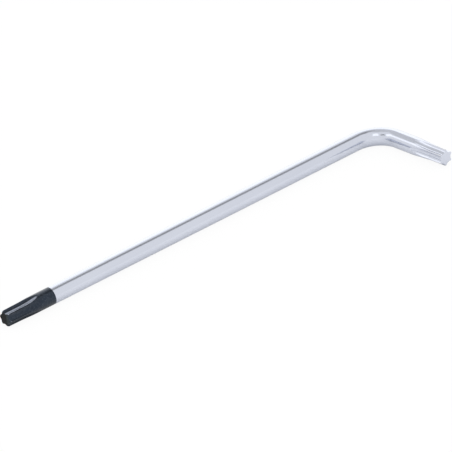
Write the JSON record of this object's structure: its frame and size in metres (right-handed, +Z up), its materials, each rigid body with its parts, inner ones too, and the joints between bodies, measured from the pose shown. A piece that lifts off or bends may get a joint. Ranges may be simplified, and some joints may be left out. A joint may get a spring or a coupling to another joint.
{
  "type": "star key",
  "caption": "L-shaped hand key bent from round bar, with a six-lobe star drive on both ends and a blackened long tip.",
  "frame": {"origin": "middle of the long arm's tip face, on the axis of the bar", "axes": "the key lies flat: +X along the long arm from its tip to the bend, the short arm points to -Y, +Z up"},
  "size_m": [0.162, 0.035, 0.0058],
  "materials": {
    "plated_bar": "bright nickel-chrome plate over drawn steel",
    "blackened_tip": "burnished black oxide, slightly glossy"
  },
  "bodies": {
    "root": {"long_star_tip": "blackened_tip", "long_arm": "plated_bar", "bend": "plated_bar", "short_arm": "plated_bar", "short_star_tip": "plated_bar"}
  },
  "joints": []
}
